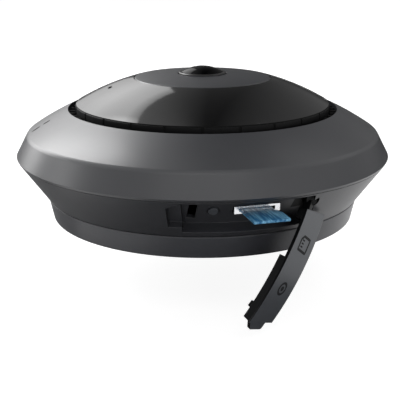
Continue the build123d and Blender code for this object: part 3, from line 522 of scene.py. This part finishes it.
# Second finishes, painted shade where shade falls: the dome black below its lip in the vent
# groove, the door's inside and knuckle and the hinge's room nearly black, the bay's floor and ends
# smooth and black, and the slots with black walls
for name, finish, chosen in (
    ("dome_cover", dome_shade_acrylic, dome_shaded_face),
    ("side_door", door_shade_abs, door_shaded_face),
    ("lower_housing", bay_shade_abs, bay_shaded_face),
    ("lower_housing", door_shade_abs, hinge_room_shaded_face),
    ("upper_housing", vent_nylon_and_slot_shade, microphone_shaded_face),
):
    mesh = frame["nodes"][name].data
    mesh.materials.append(finish)
    for face in mesh.polygons:
        if chosen(face.center / MM, face.normal):
            face.material_index = len(mesh.materials) - 1

scene = bpy.context.scene
scene.view_settings.view_transform = "Standard"


def add_object(name, data):
    """New object in the scene."""
    made = bpy.data.objects.new(name, data)
    scene.collection.objects.link(made)
    return made


def mesh_object(name, builder, finish):
    """New mesh object in the scene, with its finish."""
    mesh = bpy.data.meshes.new(name)
    builder.to_mesh(mesh)
    builder.free()
    mesh.materials.append(finish)
    return add_object(name, mesh)


# Camera
camera = add_object("camera", bpy.data.cameras.new("camera"))
camera.location = CAMERA_PLACE
camera.rotation_euler = (CAMERA_TILT, 0, 0)
camera.data.lens = CAMERA_LENS
camera.data.sensor_width = SENSOR_WIDTH
camera.data.shift_x = -(OBJECT_CENTRE_PX - IMAGE_SIZE / 2) / IMAGE_SIZE
camera.data.clip_start = CLIP_START * MM
scene.camera = camera


def on_sky(azimuth, elevation, distance=1.0):
    """Place in metres in a direction, in degrees left of straight behind and above level."""
    a, e = radians(azimuth), radians(elevation)
    return Vector((-sin(a) * cos(e), cos(a) * cos(e), sin(e))) * distance


def shown_white(tree):
    """One for a ray from the camera, a mirror or glass, which sees the white, and else nought."""
    path = node(tree, "ShaderNodeLightPath")
    straight = node(tree, "ShaderNodeMath", {
        0: path.outputs["Is Camera Ray"], 1: path.outputs["Is Glossy Ray"],
    }, operation="MAXIMUM")
    return node(tree, "ShaderNodeMath", {
        0: straight, 1: path.outputs["Is Transmission Ray"],
    }, operation="MAXIMUM")


def stage_piece(name, builder, finish, unseen_by):
    """Floor, card or lit cloth of the studio; the kinds of ray in unseen_by pass through it."""
    made = mesh_object(name, builder, finish)
    for ray in unseen_by:
        setattr(made, f"visible_{ray}", False)


def flat_piece(name, corners, finish, unseen_by=()):
    """Flat piece of the studio from its corners."""
    builder = bmesh.new()
    builder.faces.new([builder.verts.new(corner) for corner in corners])
    stage_piece(name, builder, finish, unseen_by)


def sky_sheet(name, edges, low, tops, distance, finish, unseen_by):
    """Curved sheet between two elevations at each azimuth, with its run and height as UV."""
    builder = bmesh.new()
    sheet = builder.loops.layers.uv.new("sheet")
    rows = []
    for j in range(SHEET_STEPS + 1):
        rows.append([
            builder.verts.new(on_sky(azimuth, low + (top - low) * j / SHEET_STEPS, distance))
            for azimuth, top in zip(edges, tops)
        ])
    last = len(edges) - 1
    for j in range(SHEET_STEPS):
        for i in range(last):
            face = builder.faces.new((
                rows[j][i], rows[j][i + 1], rows[j + 1][i + 1], rows[j + 1][i],
            ))
            for loop, (u, v) in zip(face.loops, ((i, j), (i + 1, j), (i + 1, j + 1), (i, j + 1))):
                loop[sheet].uv = (u / last, v / SHEET_STEPS)
    stage_piece(name, builder, finish, unseen_by)


def glowing_cloth(name, run_stops, height_stops, strength):
    """Lit cloth whose brightness changes along its run and up its height.

    A stop is a place from nought to one, and the brightness there.
    """
    made, tree, shader = surface(name)
    tree.nodes.remove(shader)
    place = node(tree, "ShaderNodeSeparateXYZ", {
        "Vector": node(tree, "ShaderNodeTexCoord").outputs["UV"],
    })
    levels = []
    for axis, stops in (("X", run_stops), ("Y", height_stops)):
        ramp = node(tree, "ShaderNodeValToRGB", {"Fac": place.outputs[axis]})
        elements = ramp.color_ramp.elements
        for position, _ in stops[1:-1]:
            elements.new(position)
        for element, (_, level) in zip(elements, stops):
            element.color = (level, level, level, 1)
        levels.append(ramp)
    level = node(tree, "ShaderNodeVectorMath", {0: levels[0], 1: levels[1]}, operation="MULTIPLY")
    glow = node(tree, "ShaderNodeEmission", {"Color": level, "Strength": strength})
    fill(tree, tree.nodes["Material Output"], {"Surface": glow})
    return made


# A large graduated softbox behind on the left, brighter outward and upward
softbox_cloth = glowing_cloth(
    "graduated_softbox_cloth",
    ((0, 0.17), (0.25, 0.25), (0.5, 0.3), (0.75, 0.9), (1, 1.0)),
    ((0, 0.25), (0.3, 0.5), (0.55, 0.86), (0.88, 1.0), (1, 0.55)),
    strength=14.5,
)
# Its top rises outward
softbox_edges = range(10, 63, 4)
sky_sheet(
    "graduated_softbox", softbox_edges, low=4,
    tops=[40 + 0.42 * azimuth for azimuth in softbox_edges], distance=1.2,
    finish=softbox_cloth, unseen_by=("camera",),
)

# A dim tent over the back half, seen only in reflections, darkest behind and above
tent_cloth = glowing_cloth(
    "graduated_black_tent_cloth",
    (
        (0, 0.7), (0.25, 0.6), (0.38, 0.28), (0.44, 0.13), (0.49, 0.16), (0.54, 0.4),
        (0.6, 0.8), (0.68, 1.3), (1, 1.3),
    ),
    ((0, 0.15), (0.12, 0.9), (0.5, 0.9), (1, 0.7)),
    strength=1.0,
)
tent_edges = range(-105, 106, 10)
sky_sheet(
    "tent", tent_edges, low=0, tops=[88] * len(tent_edges), distance=2.0,
    finish=tent_cloth, unseen_by=REFLECTIONS_ONLY,
)

# Plain lamps: degrees left of straight behind and above level, then distance, width and height
# in metres, and radiance
for name, azimuth, elevation, distance, width, height, radiance in (
    ("side_left_softbox", 88, 22, 1.0, 0.3, 0.25, 2.5),
    ("front_top_softbox", 180, 50, 1.1, 0.9, 0.4, 1.0),
    ("front_right_softbox", -155, 10, 1.0, 0.5, 0.24, 3.2),
    ("right_softbox", -78, 46, 1.0, 0.7, 0.75, 0.5),
    ("low_right_kicker", -112, 4, 1.0, 0.35, 0.18, 5.0),
):
    light = bpy.data.lights.new(name, "AREA")
    light.shape = "RECTANGLE"
    light.size, light.size_y = width, height
    light.energy = radiance * pi * width * height
    lamp = add_object(name, light)
    lamp.location = on_sky(azimuth, elevation, distance)
    lamp.rotation_euler = (LAMP_AIM - lamp.location).to_track_quat("-Z", "Y").to_euler()

# White surround: dim as a light, white where it is seen
world = bpy.data.worlds.new("studio")
scene.world = world
world.use_nodes = True
tree = world.node_tree
fill(tree, tree.nodes["Background"], {
    "Color": linear("#ffffff"),
    "Strength": node(tree, "ShaderNodeMapRange", {
        "Value": shown_white(tree), "To Min": 0.25, "To Max": 1.0,
    }),
})

# White paper floor, lit by the same lamps and lifted to white where it is seen, so that it keeps
# a soft shadow
paper, tree, shader = surface("matt_white_paper")
fill(tree, shader, {
    "Base Color": linear("#a8a8a8"),
    "Roughness": 0.9,
    "Emission Color": linear("#ffffff"),
    "Emission Strength": node(tree, "ShaderNodeMapRange", {
        "Value": shown_white(tree), "To Min": 0.0, "To Max": 0.88,
    }),
})
# From below the paper is clear, so that the underside can be seen
fill(tree, tree.nodes["Material Output"], {
    "Surface": node(tree, "ShaderNodeMixShader", {
        0: node(tree, "ShaderNodeNewGeometry").outputs["Backfacing"],
        1: shader,
        2: node(tree, "ShaderNodeBsdfTransparent"),
    }),
})
floor_z = cad_low.z - FLOOR_GAP * MM
flat_piece("floor", [
    (x * FLOOR_REACH, y * FLOOR_REACH, floor_z) for x, y in ((-1, -1), (1, -1), (1, 1), (-1, 1))
], paper)

# Velvet cards on the floor, seen only in reflections: a grey one under the left half stands for
# the close shadow there, and a black one behind gives the dome and shell their dark rims
grey_velvet, tree, shader = surface("grey_velvet_card")
fill(tree, shader, {"Base Color": linear("#909090"), "Roughness": 1.0})
black_velvet, tree, shader = surface("black_velvet_card")
fill(tree, shader, {"Base Color": linear("#161616"), "Roughness": 1.0})
card_z = floor_z + MM
# Outline of the grey card: degrees left of straight behind, and distance from the middle
grey_card_outline = (
    (0, 220), (50, 220), (95, 220), (105, 78), (120, 75), (135, 74), (148, 76), (158, 86),
    (168, 100), (182, 106), (200, 106), (215, 88),
)
flat_piece("grey_card", [
    on_sky(azimuth, 0, reach * MM) + Vector((0, 0, card_z)) for azimuth, reach in grey_card_outline
], grey_velvet, unseen_by=REFLECTIONS_ONLY)
# Corners of the black card in metres
flat_piece("back_card", [
    (x, y, card_z) for x, y in ((-1.6, 0.16), (1.6, 0.16), (1.6, 2.1), (-1.6, 2.1))
], black_velvet, unseen_by=REFLECTIONS_ONLY)


def add_piece(name, builder, finish, body):
    """Mesh piece that rides on a body and takes its finish from a slot."""
    bmesh.ops.recalc_face_normals(builder, faces=builder.faces)
    made = mesh_object(name, builder, finish)
    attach(made, body)


def bar(builder, rings):
    """Joins rings of four places in metres into a bar with closed ends."""
    rings = [[builder.verts.new(place) for place in ring] for ring in rings]
    for a, b in zip(rings, rings[1:]):
        for k in range(4):
            builder.faces.new((a[k], a[(k + 1) % 4], b[(k + 1) % 4], b[k]))
    builder.faces.new(rings[0])
    builder.faces.new(rings[-1])


def band(builder, rows, closed):
    """Joins pairs of places in metres into a flat band."""
    rows = [[builder.verts.new(place) for place in row] for row in rows]
    for a, b in zip(rows, rows[1:] + rows[:1] if closed else rows[1:]):
        builder.faces.new((a[0], b[0], b[1], a[1]))


def cone_point(azimuth, z, proud):
    """Place in metres that stands proud of the cone."""
    r = cone_radius(z) + proud * cos(CONE_ANGLE)
    return on_azimuth(azimuth, r, z - proud * sin(CONE_ANGLE)) * MM


def divided(outline, closed):
    """The outline with points added so that no run is longer than a mark's step."""
    points = []
    ends = outline[1:] + outline[:1] if closed else outline[1:]
    for (u0, v0), (u1, v1) in zip(outline, ends):
        count = max(1, int(hypot(u1 - u0, v1 - v0) / MARK_STEP + ROUND_UP))
        points += [
            Vector((u0 + (u1 - u0) * i / count, v0 + (v1 - v0) * i / count)) for i in range(count)
        ]
    return points if closed else points + [Vector(outline[-1])]


def door_mark(name, centre, outline, width, closed=True):
    """Printed line on the door's face, laid on the closed door and swung open with it."""
    centre_azimuth, centre_z = centre
    points = divided(outline, closed)
    last = len(points) - 1
    rows = []
    for i, point in enumerate(points):
        before = points[i - 1] if closed or i else point
        after = points[(i + 1) % len(points)] if closed or i < last else point
        along = (after - before).normalized()
        side = Vector((-along.y, along.x)) * width / 2
        row = []
        for edge in (point - side, point + side):
            z = centre_z + edge.y * cos(CONE_ANGLE)
            azimuth = centre_azimuth + degrees(edge.x / cone_radius(z))
            row.append(door_opened @ cone_point(azimuth, z, MARK_PROUD))
        rows.append(row)
    builder = bmesh.new()
    band(builder, rows, closed)
    add_piece(name, builder, print_ink, "door")


def ring_outline(radius, count):
    """Points round a ring."""
    turns = [2 * pi * i / count for i in range(count)]
    return [(radius * cos(turn), radius * sin(turn)) for turn in turns]


def jack_contacts():
    """Sprung wires of the network jack, which lean out of its mouth over its lower wall."""
    mouth_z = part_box("network_jack")[0].z / MM
    wall_y = JACK_PLACE[1] - JACK_MOUTH_DEPTH / 2
    builder = bmesh.new()
    for i in range(WIRE_COUNT):
        x = JACK_PLACE[0] + (i - (WIRE_COUNT - 1) / 2) * WIRE_PITCH
        rings = []
        for j, (out, up) in enumerate(WIRE_LINE):
            before, after = WIRE_LINE[max(j - 1, 0)], WIRE_LINE[min(j + 1, len(WIRE_LINE) - 1)]
            along = (Vector(after) - Vector(before)).normalized() * WIRE_THICKNESS / 2
            rings.append([
                Vector((
                    x + side * WIRE_HALF_WIDTH,
                    wall_y + out + turn * along.y,
                    mouth_z + up - turn * along.x,
                )) * MM
                for side, turn in ((-1, -1), (1, -1), (1, 1), (-1, 1))
            ])
        bar(builder, rings)
    add_piece("jack_contacts", builder, gold_contact, "camera")


def dome_louvres():
    """Low pads round the dome's wall in the vent groove, with narrow dark gaps between them."""
    pitch = 360 / LOUVRE_COUNT
    low, high = LOUVRE_Z
    # Section of a pad: out from the wall, and height
    section = (
        (LOUVRE_FOOT, low), (LOUVRE_PROUD, low + LOUVRE_CHAMFER),
        (LOUVRE_PROUD, high - LOUVRE_CHAMFER), (LOUVRE_FOOT, high),
    )
    builder = bmesh.new()
    for i in range(LOUVRE_COUNT):
        start = i * pitch + LOUVRE_GAP / 2
        rings = []
        for j in range(LOUVRE_STEPS + 1):
            azimuth = start + (pitch - LOUVRE_GAP) * j / LOUVRE_STEPS
            rings.append([
                on_azimuth(azimuth, DOME_WALL_RADIUS + out, z) * MM for out, z in section
            ])
        bar(builder, rings)
    add_piece("dome_louvres", builder, louvre_plastic, "camera")


def slot_shade_rim(name, carrier, azimuth, r, length, half_width, radial):
    """Black rim of painted shade that frames a slot, laid on the face of the piece that carries
    it.
    """
    mesh = frame["nodes"][carrier].data
    face_tree = BVHTree.FromPolygons(
        [vertex.co for vertex in mesh.vertices], [face.vertices for face in mesh.polygons],
    )
    outward = on_azimuth(azimuth, 1, 0)
    around = Vector((-outward.y, outward.x, 0))
    along, across = (outward, around) if radial else (around, outward)
    straight = length / 2 - SLOT_HALF_WIDTH
    rows = []
    for i in range(SHADE_RIM_STEPS):
        angle = 2 * pi * i / SHADE_RIM_STEPS
        row = []
        for wide in (SLOT_HALF_WIDTH + SHADE_RIM_GAP, half_width):
            u = (straight if cos(angle) > 0 else -straight) + wide * cos(angle)
            place = (outward * r + along * u + across * wide * sin(angle)) * MM
            above = Vector((place.x, place.y, SHADE_RIM_RAY_Z))
            hit, normal, _, _ = face_tree.ray_cast(above, Vector((0, 0, -1)))
            row.append(hit + normal * SHADE_RIM_PROUD * MM)
        rows.append(row)
    builder = bmesh.new()
    band(builder, rows, closed=True)
    add_piece(name, builder, vent_nylon_and_slot_shade, "camera")


# Generic marks for the card and for the reset button
card_corner_x = CARD_MARK_HALF_WIDTH - CARD_MARK_CORNER
card_corner_z = CARD_MARK_HALF_HEIGHT - CARD_MARK_CORNER
door_mark("card_mark", CARD_MARK_PLACE, [
    (-CARD_MARK_HALF_WIDTH, -CARD_MARK_HALF_HEIGHT),
    (CARD_MARK_HALF_WIDTH, -CARD_MARK_HALF_HEIGHT),
    (CARD_MARK_HALF_WIDTH, card_corner_z), (card_corner_x, CARD_MARK_HALF_HEIGHT),
    (-CARD_MARK_HALF_WIDTH, CARD_MARK_HALF_HEIGHT),
], MARK_LINE)
for i in range(CARD_BAR_COUNT):
    across = (i - (CARD_BAR_COUNT - 1) / 2) * CARD_BAR_PITCH
    bar_ends = [(across, end) for end in CARD_BAR_RUN]
    door_mark(f"card_mark_bar_{i}", CARD_MARK_PLACE, bar_ends, CARD_BAR_LINE, closed=False)
reset_ring = ring_outline(RESET_MARK_RADIUS, RESET_MARK_POINTS)
reset_dot = ring_outline(RESET_DOT_RADIUS, RESET_DOT_POINTS)
door_mark("reset_mark", RESET_MARK_PLACE, reset_ring, MARK_LINE)
door_mark("reset_dot", RESET_MARK_PLACE, reset_dot, MARK_LINE)

jack_contacts()
dome_louvres()
# Black rims of painted shade round the microphone slots and the dome's sensor slot
for i, (slot_radius, slot_length) in enumerate(MIC_SLOTS):
    slot_shade_rim(
        f"microphone_shade_rim_{i}", "upper_housing", MIC_AZIMUTH, slot_radius, slot_length,
        MIC_SHADE_RIM_HALF_WIDTH, radial=True,
    )
slot_shade_rim(
    "sensor_shade_rim", "dome_cover", DOME_SLOT_AZIMUTH, DOME_SLOT_RADIUS, DOME_SLOT_LENGTH,
    DOME_SHADE_RIM_HALF_WIDTH, radial=False,
)
